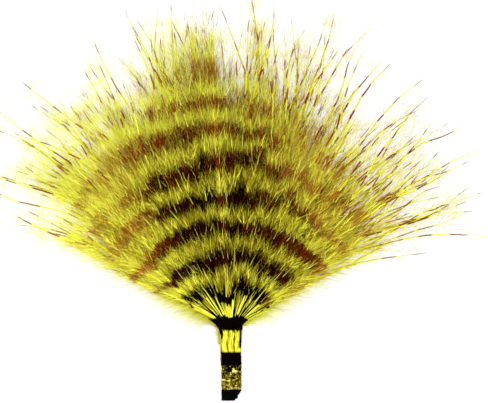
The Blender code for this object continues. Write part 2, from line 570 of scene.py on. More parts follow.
def barb_lines(barbs, plan):
    """The barbs' middle lines: places, distances from the neck, bar distances, tones, places across.

    Along each barb the distance from the neck grows with the power RING_POWER of the ring's number.
    A barb that starts on the shaft eases away from it over a spread length. The barbs follow the
    quills' lines, with a sway that grows with the square of the distance.
    """
    q = np.linspace(0.0, 1.0, BARB_RINGS)[None, :] ** RING_POWER
    root, tip = column(barbs.root), column(barbs.tip)
    along = root + (tip - root) * q
    eased = np.where(column(barbs.in_stem), 1.0, smooth((along - root) / 26.0))
    across = plan.middle + column(barbs.offset) * PLUME_SHARE * eased
    sway = SWAY * (np.maximum(along, 0.0) / MIDDLE_LENGTH) ** 2
    widest = 1.02 + 0.08 * smooth((along - 20.0) / 40.0)
    across = np.clip(across + sway * np.sin(SWAY_WAVES * across + plan.phase), -widest, widest)
    x, y, heading = quill(across, along, plan)
    free = np.clip((along - column(barbs.fluff_end) + 12.0) / 30.0, 0.0, 1.6)
    gathered = 1.0 - smooth((along + 2.0) / 7.0)
    side = sideways(barbs, along, free, gathered, plan)
    groove = stem_grooves(barbs, across, along, gathered)
    z = line_heights(barbs, along, free, groove, plan)
    tone = line_tones(barbs, across, along, gathered, groove)
    line = np.stack((x + side * np.cos(heading), y - side * np.sin(heading) + NECK_Y, z), axis=2)
    return line, along, bar_distance(barbs, along, across, plan), tone, across


def looseness(along, middle):
    """How far the dye's bars have come apart here: more towards the tips, and most at the right."""
    outer = smooth((along - 56.0) / 34.0)
    right = smooth((middle - 0.25) / 0.35) * smooth((along - 38.0) / 14.0)
    return 0.32 + 2.8 * outer + 0.8 * right


def bar_strength(across, along):
    """The share of strands whose bars are dark here. The others' bars are only brownish.

    The bars are dark from one side of the fan to the other near the neck. Further out they are dark
    only in a middle part, which grows narrower.
    """
    left = np.interp(along, DARK_STATIONS, DARK_FROM)
    right = np.interp(along, DARK_STATIONS, DARK_TO)
    dark = smooth((across - left) / 0.25) * smooth((right - across) / 0.25)
    return np.maximum(dark, 0.04)


def faded_share(across, along):
    """The share of strands whose bars lie anywhere, which blurs them: more at the sides and tips."""
    aside = 0.42 * smooth((np.abs(across + 0.12) - 0.15) / 0.5) * smooth((along - 28.0) / 26.0)
    left = 0.35 * smooth((-across - 0.6) / 0.3) * smooth((along - 24.0) / 12.0)
    right = 0.08 * smooth((across - 0.05) / 0.3) * smooth((along - 26.0) / 10.0)
    return aside + left + right + 0.12 * smooth((along - 58.0) / 20.0)


def tan_share(across, along):
    """The share of strands that are brownish all along: only in the outer down at the right."""
    return 0.13 * smooth((across - 0.02) / 0.25) * smooth((along - 32.0) / 20.0)


def widened(dyed, across, along, plan):
    """Bar distances that draw some bars wider and others narrower.

    The distance from the nearest bar's middle is divided by how much wider the bar should be: in
    the middle of the fan, in the whole second bar and in the third bar at the right. Further out
    at the fan's sides it should be narrower.
    """
    middle = 1.20 * bell(across, -0.10, 0.4) * smooth((along - 8.0) / 10.0)
    low_right = 1.5 * smooth((across - 0.1) / 0.3) * smooth((33.0 - along) / 8.0)
    low_right = low_right * smooth((along - 14.5) / 3.0)
    aside = 0.25 * smooth((np.abs(across) - 0.5) / 0.3) * smooth((along - 25.0) / 15.0)
    near = 0.3 * smooth((along - 5.0) / 5.0) * smooth((20.0 - along) / 5.0)
    turns = (dyed - plan.first_bar) / plan.bar_spacing
    bar = np.round(turns)
    off = np.clip((turns - bar) / (1.0 + middle + low_right + near - aside), -0.49, 0.49)
    return plan.first_bar + plan.bar_spacing * (bar + off)


def down_reaches(across, plan):
    """How far from the neck the down reaches here. It reaches further in the back layer."""
    further = BACK_REACHES_FURTHER if plan.layer == 0 else 1.0
    further = further * (1.0 + 0.05 * np.sin(23.0 * across + 2.0 * plan.layer))
    return further * np.interp(across, DOWN_ACROSS, DOWN_REACH)


def left_out(across, along):
    """The share of strands left out at the fan's sides: at the left only further out."""
    right = 0.97 * smooth((across - 0.80) / 0.22) * smooth((along - 4.0) / 8.0)
    left = 0.93 * smooth((-across - 0.70) / 0.30) * smooth((along - 28.0) / 15.0)
    return np.maximum(left, right)


def in_bar(dyed, plan):
    """True where a bar distance lies in a bar."""
    turns = (dyed - plan.first_bar) / plan.bar_spacing
    return np.abs(turns - np.round(turns)) < 0.25


def redder(across, along):
    """How much redder the bars are beyond the third one: at the fan's sides, most at the right."""
    sides = 0.45 * smooth((across - 0.02) / 0.25) + 0.5 * smooth((-across - 0.40) / 0.2)
    sides = sides + 0.35 * smooth((across - 0.4) / 0.3)
    return sides * smooth((along - 22.0) / 8.0)


def bar_distance(barbs, along, across, plan):
    """The distance that sets the dye along the barbs, which is the place's own with shifts.

    The bars shift from plume to plume near the neck, from barb to barb further out, in a slow wave
    across the fan and in patches. The outermost barbs and some short ones have no bars, and some
    short ones are dark all along.
    """
    calm = smooth((along - 2.0) / 9.0)
    near = plan.bar_shift * calm * np.exp(-np.maximum(along - 12.0, 0.0) / 8.0)
    lowered = np.interp(along, LOWERED_STATIONS, LOWERED_BY)
    lowered = lowered - 0.14 * np.minimum(along - plan.first_bar, 0.0)
    wobble = 0.7 * calm * np.sin(5.0 * across + 0.19 * along + 1.0)
    loose = calm * looseness(along, plan.middle) * column(barbs.bar_shift)
    outer = smooth((along - 30.0) / 35.0) * (0.2 + 0.8 * smooth(np.abs(across + 0.1) / 0.4))
    patch = in_patch(column(barbs.across), along, plan) * (0.8 + 1.6 * outer)
    short = np.minimum(along, 7.3 + 0.03 * np.maximum(along, 0.0)) + lowered * (along < 0.0)
    dyed = along + lowered + wobble - near - loose - calm * patch
    dyed = np.where(column(barbs.unbarred), short, dyed)
    outermost = (across < BARE_PAST[0]) | (across > BARE_PAST[1])
    outermost = outermost & (along > BARE_BETWEEN[0]) & (along < BARE_BETWEEN[1])
    dyed = np.where(outermost, unbarred(along, plan), dyed)
    return np.where(column(barbs.black) & (along > 0.0), plan.first_bar, dyed)


def in_patch(across, along, plan):
    """The shift of the cell here, eased from one bar's cell to the next bar's."""
    cell = np.clip((across + 1.0) / 2 * PATCHES, 0, PATCHES - 1).astype(int)
    turns = np.clip((along - plan.first_bar) / plan.bar_spacing, 0.0, BARS - 1.001)
    low = turns.astype(int)
    near, far = plan.patch_shifts[cell, low], plan.patch_shifts[cell, low + 1]
    return near + (far - near) * (turns - low)


def cross_directions(ahead):
    """Unit directions to the side of and above a direction of travel."""
    side = np.cross(ahead, (0.0, 0.0, 1.0))
    side /= np.linalg.norm(side, axis=-1, keepdims=True)
    return side, np.cross(side, ahead)


def tube_caps(dyed, tone):
    """The triangles that close three-sided tubes at both ends, with their map corners."""
    count, rings = dyed.shape
    first = np.arange(count) * rings * 3
    last = first + (rings - 1) * 3
    root_caps = np.stack((first + 2, first + 1, first), axis=1)
    tip_caps = np.stack((last, last + 1, last + 2), axis=1)
    u = np.concatenate((tone[:, 0], tone[:, -1]))[:, None] + MAP_STEP / 2 * np.array((0, 1, 0))
    v = np.concatenate((dyed[:, 0], dyed[:, -1]))[:, None] + np.array((0, 0, 0.4))
    return np.concatenate((root_caps, tip_caps)), np.stack((u, v), axis=-1)


def shafts(line, dyed, tone, radius):
    """Three-sided tubes along middle lines, closed at both ends.

    A ring of three points stands round each place of a line, square to its direction, at the
    radius given for that place.
    """
    count, rings = line.shape[:2]
    ahead = np.gradient(line, axis=1)
    ahead /= np.linalg.norm(ahead, axis=2, keepdims=True)
    side, up = cross_directions(ahead)
    turn = np.arange(3) * 2 * np.pi / 3 + np.pi / 2
    ring = np.cos(turn)[:, None] * side[:, :, None] + np.sin(turn)[:, None] * up[:, :, None]
    places = line[:, :, None] + radius[:, :, None, None] * ring
    barb, step, edge = np.meshgrid(np.arange(count), np.arange(rings - 1), np.arange(3), indexing="ij")
    after = (edge + 1) % 3
    near, far = (barb * rings + step) * 3, (barb * rings + step + 1) * 3
    quads = np.stack((near + edge, near + after, far + after, far + edge), axis=-1).reshape(-1, 4)
    u = np.stack((tone[barb, step],) * 2 + (tone[barb, step + 1],) * 2, axis=-1)
    u = u + MAP_STEP / 2 * (edge[..., None] + np.array((0, 1, 1, 0)))
    v = np.stack((dyed[barb, step],) * 2 + (dyed[barb, step + 1],) * 2, axis=-1)
    quad_map = np.stack((u, v), axis=-1).reshape(-1, 4, 2)
    caps, cap_map = tube_caps(dyed, tone)
    triangles = np.concatenate((quads[:, (0, 1, 2)], quads[:, (0, 2, 3)], caps))
    corners = np.concatenate((quad_map[:, (0, 1, 2)], quad_map[:, (0, 2, 3)], cap_map))
    return places.reshape(-1, 3), triangles, corners


def barb_radius(barbs, along):
    """Radii that taper to the tips; the short bright barbs swell above the neck."""
    left = (column(barbs.tip) - along) / column(barbs.tip - barbs.root)
    taper = np.interp(left, (0.0, 0.18, 1.0), (0.2, 0.8, 1.0))
    short = (0.75 + 2.0 * smooth(along / 5.0)) * np.clip(left * 2.2, 0.05, 1.0)
    return column(barbs.thickness) / 2 * np.where(column(barbs.kind) == SHORT, short, taper)


def slivers(foot, reach, length, width, tone, bar, rng, bar_follow=0.8):
    """One thin triangle for each strand: it stands on its foot and points along its reach.

    Its bar distance grows by its length times `bar_follow` from foot to tip, and its tip stays
    within the height of the down.
    """
    count = len(foot)
    side, up = cross_directions(reach)
    roll = column(rng.uniform(-1.1, 1.1, count))
    half = (np.cos(roll) * side + np.sin(roll) * up) * column(width) / 2
    end = foot + column(length) * reach
    end[:, 2] = np.clip(end[:, 2], 0.12, fluff_height(np.hypot(end[:, 0], end[:, 1] - NECK_Y)))
    places = np.stack((foot - half, foot + half, end), axis=1).reshape(-1, 3)
    u = column(tone) + MAP_STEP * np.array((0, 2, 1))
    v = column(bar) + bar_follow * column(length) * np.array((0, 0, 1))
    return places, np.arange(3 * count).reshape(-1, 3), np.stack((u, v), axis=-1)


def turned_off(ahead, lean, round_barb):
    """Directions that lean off the way ahead by an angle, towards a direction round it.

    They are the cosine of the angle ahead and its sine aside, less so up and down.
    """
    side, up = cross_directions(ahead)
    aside = column(np.cos(round_barb)) * side + 0.55 * column(np.sin(round_barb)) * up
    return column(np.cos(lean)) * ahead + column(np.sin(lean)) * aside


def draw_places(barbs, count, rng):
    """Draws the barb of each strand of down and the place on it.

    A barb carries down in proportion to the area that it covers, and the fan's width grows with
    the distance, so the square of the distance is drawn evenly.
    """
    start = np.maximum(barbs.root, DOWN_BEGINS)
    end = np.maximum(barbs.fluff_end + DOWN_RUNS_ON, start + 1.0)
    near, far = (start + FAN_OPENS_BELOW) ** 2, (end + FAN_OPENS_BELOW) ** 2
    weight = (far - near) * (barbs.kind != SHORT)
    owner = rng.choice(barbs.count, count, p=weight / weight.sum())
    square = near[owner] + (far - near)[owner] * rng.uniform(size=count)
    return owner, np.sqrt(square) - FAN_OPENS_BELOW


def thinned_places(barbs, plan, rng):
    """The barb and the place of the strands that are left where the down thins out.

    It thins out towards its reach, later in the tuft, and at the fan's sides.
    """
    owner, place = draw_places(barbs, plan.barbules, rng)
    across = barbs.across[owner]
    reach = np.where(barbs.tuft[owner], 1.35 * TUFT_REACH, down_reaches(across, plan))
    thinned = 0.95 * smooth((place / reach - 0.45) / 0.65)
    thinned = np.maximum(thinned, left_out(across, place))
    kept = rng.uniform(size=plan.barbules) > thinned
    return owner[kept], place[kept]


def on_lines(owner, place, lines):
    """Where places on barbs are: the point, way ahead, bar distance, tone and place across the fan."""
    line, along, dyed, tone, across = lines
    root, tip = along[owner, 0], along[owner, -1]
    share = np.clip((place - root) / (tip - root), 0.0, 0.9999) ** (1 / RING_POWER)
    low = (share * (BARB_RINGS - 1)).astype(int)
    rest = (place - along[owner, low]) / (along[owner, low + 1] - along[owner, low])

    def between(values):
        return values[owner, low] + (values[owner, low + 1] - values[owner, low]) * rest

    ahead = line[owner, low + 1] - line[owner, low]
    ahead /= np.linalg.norm(ahead, axis=1, keepdims=True)
    foot = line[owner, low] + (line[owner, low + 1] - line[owner, low]) * rest[:, None]
    return foot, ahead, between(dyed), between(tone), between(across)


def patches(place):
    """Slow changes of tone over the fan: the product of two crossed waves."""
    x, y = place[:, 0], place[:, 1]
    return 0.07 * np.sin(0.31 * x + 0.13 * y + 1.0) * np.sin(0.37 * y - 0.11 * x)


def tone_on_map(tone, dark):
    """The map's coordinate for a tone, in the band of dark bars or in the band of brownish ones."""
    tone = np.clip(tone, 0.0, 1.0)
    return np.where(dark, DARK_BAND[0], BROWN_BAND[0]) + tone * (DARK_BAND[1] - DARK_BAND[0])


def even_width(widths, count, rng):
    """Draws widths between two, with as many below their geometric mean as above it."""
    narrow, broad = np.log(widths)
    return np.exp(rng.uniform(narrow, broad, count))


def strand_bars(bar, across, place, in_tuft, plan, rng):
    """The strands' bar distances, and which of them are brownish all along.

    A strand's bars lie a little off its barb's, and for some a good deal further out. The bars of
    others lie anywhere, most in patches at the fan's sides. The tuft's tip has no bars.
    """
    count = len(place)
    spread = 0.25 + 0.26 * looseness(place, plan.middle) * smooth(place / 30.0)
    ragged = 2.6 * rng.uniform(size=count) ** 4 * smooth((place - 6.0) / 8.0)
    bar = widened(bar - rng.normal(size=count) * spread - ragged, across, place, plan)
    off_middle = smooth((np.abs(across + 0.12) - 0.22) / 0.3)
    blotch = 0.6 * off_middle * smooth(in_patch(-across, place, plan)) * smooth((place - 34.0) / 22.0)
    faded = rng.uniform(size=count) < faded_share(across, place) + blotch
    bar = bar + faded * plan.bar_spacing * rng.uniform(-0.5, 0.5, count)
    tan = rng.uniform(size=count) < tan_share(across, place)
    bar = np.where(tan, bar_before(place, plan) + 1.0, bar)
    return np.where(in_tuft & (place > TUFT_BAR_ENDS), unbarred(place, plan), bar), tan


def strand_tones(tone, lighter, foot, owner, place, rng):
    """The strands' tones: their barb's, with own and slow changes, and painted shade that darkens the
    down just above the neck.
    """
    bundle = 0.12 * np.sin(1.9 * place + 2.4 * owner)
    # Painted shade: the down just above the neck is darker.
    near = 1.0 - smooth((place - 5.0) / 10.0)
    return tone + 0.25 * rng.normal(size=len(place)) + lighter + bundle + patches(foot) - 0.42 * near


def down(barbs, lines, plan, rng):
    """The down along the barbs. Most strands are fine; some are broad, where several cling together.

    Further out a strand is longer and finer, leans off more and stands further beside its barb.
    The strands that cling are brighter or darker than the rest. The down is brighter between the
    second and the third bar, and redder on the bars at the fan's sides.
    """
    owner, place = thinned_places(barbs, plan, rng)
    count = len(place)
    foot, ahead, bar, tone, across = on_lines(owner, place, lines)
    opened = smooth((place - 1.0) / 24.0)
    outer = smooth((place - 40.0) / 30.0)
    left = np.clip((barbs.fluff_end[owner] + DOWN_RUNS_ON - place) / 18.0, 0.0, 1.0)
    clings = rng.uniform(size=count) < np.interp(place, CLING_STATIONS, CLING_SHARES)
    lighter = np.where(rng.uniform(size=count) < 0.52, 0.58, -0.45) * clings
    side, _ = cross_directions(ahead)
    foot = foot + side * column(1.1 * outer * rng.normal(size=count))
    lean = np.radians(7.0 + 19.0 * opened + 16.0 * outer) * rng.uniform(0.3, 1.5, count)
    lean = lean * (1.0 - 0.6 * outer * clings)
    length = plan.barbule_length * (0.3 + 0.7 * opened + 0.6 * outer) * rng.uniform(0.6, 1.3, count)
    length = length * (0.5 + 0.5 * left**0.7) * (1.0 + 0.25 * clings)
    width = even_width(DOWN_WIDTHS, count, rng) * (0.7 + 0.3 * opened - 0.5 * outer)
    width = width * np.where(clings, 2.1 + 1.6 * outer, 1.0)
    reach = turned_off(ahead, lean, rng.uniform(0, 2 * np.pi, count))
    bar, tan = strand_bars(bar, across, place, barbs.tuft[owner], plan, rng)
    tone = strand_tones(tone, lighter, foot, owner, place, rng)
    on_bar = in_bar(bar + 0.4 * length, plan)
    tone = tone + 0.42 * ~on_bar * bell(place, 16.5, 3.0)
    tone = tone + on_bar * (redder(across, place) - 0.7 * np.maximum(lighter, 0.0))
    dark = ~tan & (rng.uniform(size=count) < bar_strength(across, place))
    # Painted highlight: a few strands take the pale colour, with no bars.
    u = np.where(rng.uniform(size=count) < plan.pale_share, PALE_PLACE, tone_on_map(tone, dark))
    return slivers(foot, reach, length, width, u, bar, rng)


def tip_hairs(barbs, lines, plan, rng):
    """Sparse fine hairs on the bare spines.

    One in four clings to its spine just before the middle of a bar. The others stand off and make
    a haze: pale green, or faintly brown for some at the right.
    """
    count = plan.tip_hairs
    owner = rng.choice(np.flatnonzero(barbs.kind == LONG), count)
    start = barbs.fluff_end[owner] - 8.0
    place = start + (barbs.tip[owner] - start) * rng.uniform(size=count) ** 1.1
    _, _, bar, _, _ = on_lines(owner, place, lines)
    haze = rng.uniform(size=count) < 0.75
    onto_bar = np.where(haze, 0.0, bar_before(bar, plan) - bar)
    place = np.clip(place + onto_bar, start, barbs.tip[owner] - np.where(haze, 4.0, 1.0))
    foot, ahead, bar, tone, across = on_lines(owner, place, lines)
    tan = haze & (rng.uniform(size=count) < 0.4 * smooth((across + 0.1) / 0.4))
    bar = np.where(tan, bar_before(place, plan), np.where(haze, unbarred(place, plan), bar))
    lean = np.where(haze, rng.uniform(0.1, 0.9, count), rng.uniform(0.0, 0.12, count))
    length = np.where(haze, rng.uniform(3.0, 7.0, count), rng.uniform(1.5, 3.5, count))
    width = np.where(haze, 0.05, 0.10)
    reach = turned_off(ahead, lean, rng.uniform(0, 2 * np.pi, count))
    side, _ = cross_directions(ahead)
    foot = foot + side * column(2.2 * haze * rng.normal(size=count))
    u = tone_on_map(tone + 0.35 * haze, ~haze)
    return slivers(foot, reach, length, width, u, bar, rng)


def edge_down(plan, rng):
    """Loose fine down that hangs out of the fan's lower edge, from the neck upwards.

    Its strands point outwards from their quills by an angle that shrinks with the distance from
    the neck. They stand in the outer quarter of the fan, at the left mostly near the edge.
    """
    count = plan.edge_hairs
    first, last = (-4.5, 54.0) if plan.edge < 0 else (1.0, 50.0)
    place = first + (last - first) * rng.uniform(size=count) ** 1.6
    inside = 0.25 * rng.uniform(size=count) ** (1.5 - 0.5 * plan.edge)
    x, y, heading = quill(plan.edge * (1.0 - inside), place, plan)
    z = np.maximum(fluff_height(place) * rng.uniform(0.05, 0.55, count), 0.3)
    foot = np.stack((x, y + NECK_Y, z), axis=1)
    turned = heading + plan.edge * np.radians(rng.uniform(3.0, 75.0, count) * (1.0 - place / 95.0))
    reach = np.stack((np.sin(turned), np.cos(turned), rng.uniform(-0.15, 0.1, count)), axis=1)
    reach /= np.linalg.norm(reach, axis=1, keepdims=True)
    length = rng.uniform(1.5, 10.0, count) * (0.2 + 0.8 * smooth((place + 4.5) / 12.0))
    width = even_width(EDGE_WIDTHS, count, rng)
    darker = 0.25 * (plan.edge < 0) * smooth((14.0 - place) / 12.0)
    tone = EDGE_TONE - darker + 0.25 * rng.normal(size=count)
    u = tone_on_map(tone, False)
    return slivers(foot, reach, length, width, u, unbarred(place, plan), rng, bar_follow=0.2)


def bar_before(along, plan):
    """The distance of a place a little before the middle of the nearest bar."""
    turns = np.round((along - plan.first_bar) / plan.bar_spacing)
    return plan.first_bar + plan.bar_spacing * turns - 1.5


def unbarred(along, plan):
    """The nearest distance at which the dye has no bar."""
    spacing = plan.bar_spacing
    return (np.floor((along - plan.first_bar) / spacing) + 0.5) * spacing + plan.first_bar - 0.6


def glints(plan, rng):
    """Stray strands that lie on top of the fan, thin and nearly straight, coloured pale with no bars
    as a painted highlight.

    A strand's heading changes evenly from its start to its end, and its height is a flat arch.
    """
    count = plan.glints
    start = 5.0 + 52.0 * rng.uniform(size=count)
    across = plan.middle + rng.uniform(-1.0, 1.0, count) * PLUME_SHARE
    length = rng.uniform(2.5, 6.5, count)
    x, y, heading = quill(across, start, plan)
    q = np.linspace(0.0, 1.0, 4)[None, :]
    angle = column(heading + rng.normal(0.0, 0.20, count)) + column(rng.normal(0.0, 0.10, count)) * q
    run = q * column(length)
    height = barbs_height(start) * rng.uniform(0.95, 1.05, count)
    x = column(x) + run * np.sin(angle)
    y = column(y) + run * np.cos(angle) + NECK_Y
    z = column(height) + (0.6 * q - 0.6 * q**2) * column(length) * 0.25
    radius = 0.5 * column(rng.uniform(0.08, 0.19, count)) * (1.0 - 0.8 * q)
    line = np.stack((x, y, z), axis=2)
    return shafts(line, column(start) + run, np.full(line.shape[:2], PALE_PLACE), radius)


def loose_strands(plan, rng):
    """Strands loose at the stem's sides.

    At its left a few pale ones run down beside the glue, and black ones flare out at the neck.
    Black ones cling to its right.
    """
    kind = np.repeat(("pale", "flared", "right"), LOOSE_STRANDS)
    count = len(kind)
    pale, flared = kind == "pale", kind == "flared"

    def each(for_pale, for_flared, for_right):
        return column(np.select((pale, flared), (for_pale, for_flared), for_right))

    start = each(rng.uniform(-1.0, 2.0, count), rng.uniform(-2.5, 0.5, count), -5.0)
    stop = each(rng.uniform(-17.0, -9.0, count), rng.uniform(3.6, 4.6, count), 3.5)
    q = np.linspace(0.0, 1.0, 9)[None, :]
    along = start + (stop - start) * q
    side = each(-1.0, -1.0, 1.0)
    x, y, _ = quill(side * np.ones_like(along), along, plan)
    flare = column(rng.uniform(0.1, 1.0, count)) * 2.3 * smooth((along + 2.5) / 7.0)
    away = each(rng.uniform(0.2, 0.5, count), rng.uniform(-0.3, 0.1, count), 0.0)
    x = x + side * (away + np.where(column(flared), flare, 0.0))
    x = x + 0.15 * np.sin(0.7 * along + 6.0 * column(rng.uniform(size=count)))
    z = np.where(pale, rng.uniform(0.5, 3.6, count), rng.uniform(3.4, 4.8, count))
    line = np.stack((x, y + NECK_Y, np.broadcast_to(column(z), along.shape)), axis=2)
    tone = np.broadcast_to(each(PALE_PLACE, DARK_BAND[0], DARK_BAND[0]), along.shape)
    dyed = np.where(column(pale), along, plan.first_bar)
    radius = 0.5 * each(0.11, 0.34, 0.26) * (1.0 - 0.6 * q)
    return shafts(line, dyed, tone, radius)


def joined(parts):
    """Joins lists of places, triangles and map corners into one of each."""
    places, triangles, corners, start = [], [], [], 0
    for part_places, part_triangles, part_corners in parts:
        places.append(part_places)
        triangles.append(part_triangles + start)
        corners.append(part_corners)
        start += len(part_places)
    return np.concatenate(places), np.concatenate(triangles), np.concatenate(corners)


def on_map(distance):
    """The map's second coordinate for a distance from the neck."""
    return (distance - MAP_FROM) / (MAP_TO - MAP_FROM)


def map_places(corners):
    """Turns tone and distance into map coordinates between 0 and 1."""
    return np.clip(np.stack((corners[..., 0], on_map(corners[..., 1])), axis=-1), 0.002, 0.998)


def in_scene(name, data):
    """Makes an object of its data and puts it in the scene."""
    made = bpy.data.objects.new(name, data)
    bpy.context.scene.collection.objects.link(made)
    return made


def mesh_piece(name, places, triangles, corners, material):
    """Makes a mesh object of triangles, with its dye map, in metres."""
    mesh = bpy.data.meshes.new(name)
    mesh.vertices.add(len(places))
    mesh.vertices.foreach_set("co", (places * MM).astype(np.float32).ravel())
    mesh.loops.add(triangles.size)
    mesh.loops.foreach_set("vertex_index", triangles.astype(np.int32).ravel())
    mesh.polygons.add(len(triangles))
    mesh.polygons.foreach_set("loop_start", np.arange(0, triangles.size, 3, dtype=np.int32))
    layer = mesh.uv_layers.new(name=DYE_MAP)
    layer.uv.foreach_set("vector", map_places(corners).astype(np.float32).ravel())
    mesh.materials.append(material)
    mesh.update(calc_edges=True)
    return in_scene(name, mesh)


def node(tree, kind, **values):
    """Adds a shader node and sets its properties."""
    made = tree.nodes.new(kind)
    for name, value in values.items():
        setattr(made, name, value)
    return made


def math_node(tree, operation, *values):
    """Adds a Math node whose inputs are sockets or numbers, and returns its output."""
    made = node(tree, "ShaderNodeMath", operation=operation)
    for socket, value in zip(made.inputs, values):
        if isinstance(value, (int, float)):
            socket.default_value = value
        else:
            tree.links.new(value, socket)
    return made.outputs[0]


def map_range(tree, source, start, end, top=1.0, kind="LINEAR"):
    """Adds a Map Range node, from 0 at the start to its top at the end, and returns its result."""
    made = node(tree, "ShaderNodeMapRange", interpolation_type=kind)
    tree.links.new(source, made.inputs["Value"])
    for name, value in (("From Min", start), ("From Max", end), ("To Min", 0.0), ("To Max", top)):
        made.inputs[name].default_value = value
    return made.outputs["Result"]


def ramp_node(tree, source, stops):
    """Adds a colour ramp over (position, colour) stops and returns its colour output."""
    made = node(tree, "ShaderNodeValToRGB")
    tree.links.new(source, made.inputs["Fac"])
    elements = made.color_ramp.elements
    while len(elements) < len(stops):
        elements.new(0.5)
    for element, (position, colour) in zip(elements, stops):
        element.position = position
        element.color = (*colour, 1.0)
    return made.outputs["Color"]


def mix_colours(tree, factor, first, second):
    """Adds a colour Mix node and returns its result. The inputs are sockets or colours."""
    made = node(tree, "ShaderNodeMix", data_type="RGBA")
    for socket, value in ((made.inputs[0], factor), (made.inputs[6], first), (made.inputs[7], second)):
        if isinstance(value, bpy.types.NodeSocket):
            tree.links.new(value, socket)
        else:
            socket.default_value = (*value, 1.0)
    return made.outputs[2]


def new_material(name):
    """An empty node material with a Principled shader: returns it, its tree and its shader."""
    material = bpy.data.materials.new(name)
    material.use_nodes = True
    return material, material.node_tree, material.node_tree.nodes["Principled BSDF"]


def bar_mask(tree, place, dye):
    """1 in the bars and 0 between them: they repeat with the distance, and narrow towards the tips."""
    spacing = dye.bar_spacing / MM
    scale = (MAP_TO - MAP_FROM) / spacing
    offset = (MAP_FROM - dye.first_bar / MM) / spacing
    turns = math_node(tree, "MULTIPLY_ADD", place, scale, offset)
    narrowing = math_node(tree, "MULTIPLY_ADD", place, 0.1, -0.1 * on_map(50.0))
    from_middle = math_node(tree, "PINGPONG", turns, 0.5)
    from_middle = math_node(tree, "ADD", from_middle, math_node(tree, "MAXIMUM", narrowing, 0.0))
    edge = dye.bar_width / MM / spacing / 2
    return map_range(tree, from_middle, edge + BAR_BLUR, edge - BAR_BLUR, kind="SMOOTHSTEP")


def yellow_colours(tree, own_tone, place, brown_band, dye):
    """The colours between the bars: the tone picks the yellow, and far out it turns greener."""
    yellows = ramp_node(tree, own_tone, ((0.0, dye.shade), (0.40, dye.yellow), (0.95, dye.lemon)))
    greener = map_range(tree, place, on_map(45.0), on_map(88.0), 0.8)
    far_out = mix_colours(tree, brown_band, dye.tip_green, dye.haze)
    return mix_colours(tree, greener, yellows, far_out)


def bar_colours(tree, own_tone, place, brown_band, dye):
    """The bars' colours: black near the neck, maroon and brown further out and for brighter tones."""
    redness = map_range(tree, place, on_map(3.0), on_map(22.0), 0.6)
    outward = math_node(tree, "MULTIPLY_ADD", place, BROWNER_OUT, -BROWNER_OUT * on_map(44.0))
    outward = math_node(tree, "MAXIMUM", outward, 0.0)
    reddish = math_node(tree, "MULTIPLY_ADD", own_tone, redness, outward)
    dark_stops = ((0.22, dye.bar_black), (0.48, dye.bar_maroon), (0.78, dye.bar_brown))
    darks = ramp_node(tree, reddish, dark_stops)
    browns = ramp_node(tree, own_tone, ((0.0, dye.bar_brown), (1.0, dye.bar_tan)))
    return mix_colours(tree, brown_band, darks, browns)


def dyed_down(dye):
    """Dyed barbs and down. The map gives the tone, and the distance that places the bars."""
    if "dyed_down" in bpy.data.materials:
        return bpy.data.materials["dyed_down"]
    material, tree, shader = new_material("dyed_down")
    own_map = node(tree, "ShaderNodeUVMap", uv_map=DYE_MAP)
    parts = node(tree, "ShaderNodeSeparateXYZ")
    tree.links.new(own_map.outputs["UV"], parts.inputs["Vector"])
    tone, place = parts.outputs["X"], parts.outputs["Y"]
    brown_band = math_node(tree, "GREATER_THAN", tone, (DARK_BAND[1] + BROWN_BAND[0]) / 2)
    band_start = math_node(tree, "MULTIPLY", brown_band, BROWN_BAND[0] - DARK_BAND[0])
    shifted = math_node(tree, "SUBTRACT", tone, band_start)
    width = DARK_BAND[1] - DARK_BAND[0]
    own_tone = math_node(tree, "MULTIPLY_ADD", shifted, 1 / width, -DARK_BAND[0] / width)
    yellows = yellow_colours(tree, own_tone, place, brown_band, dye)
    bars = bar_colours(tree, own_tone, place, brown_band, dye)
    colour = mix_colours(tree, bar_mask(tree, place, dye), yellows, bars)
    # The pale colour with no bars: a painted highlight on most strands that have it.
    pale_and_highlight = math_node(tree, "GREATER_THAN", tone, PALE_FROM)
    colour = mix_colours(tree, pale_and_highlight, colour, dye.pale)
    tree.links.new(colour, shader.inputs["Base Color"])
    shader.inputs["Roughness"].default_value = 0.8
    shader.inputs["Specular IOR Level"].default_value = 0.0
    return material


def glued_skin(settings):
    """The hardened glue as one closed skin of rings along the stem, in millimetres.

    A ring is a rounded box: the cosine of the turn to the power 0.4, and its sine to the power
    0.5. Crossed sine waves of falling size crinkle it. The right side steps in at the broken end.
    """
    along = np.linspace(BUTT_TOP, BUTT_END, GLUE_RINGS)[:, None]
    turn = (np.arange(GLUE_SIDES) + 0.5)[None, :] * 2 * np.pi / GLUE_SIDES
    left = -STEM_WIDTH / 2
    right = np.interp(along, BROKEN_EDGE_ROWS, BROKEN_EDGE_X)
    across = np.sign(np.cos(turn)) * np.abs(np.cos(turn)) ** 0.4
    up = np.sign(np.sin(turn)) * np.abs(np.sin(turn)) ** 0.5
    crinkle = np.zeros((GLUE_RINGS, GLUE_SIDES))
    for wave, (waves_along, waves_round, phase) in enumerate(CRINKLE_WAVES):
        turned = waves_along * along + waves_round * turn + phase
        crinkle += np.abs(np.sin(turned)) / (1.0 + 0.45 * wave)
    crinkle = settings.crinkle / MM * (crinkle - 2.0)
    x = (left + right) / 2 + (right - left) / 2 * across + crinkle * np.cos(turn)
    y = along + NECK_Y + 0.25 * crinkle * np.sin(3 * turn)
    z = BUTT_THICKNESS / 2 * (1 + up) + crinkle * np.clip(np.sin(turn) + 0.4, 0.0, 1.0)
    return np.stack((x, y, np.maximum(z, 0.02)), axis=2)


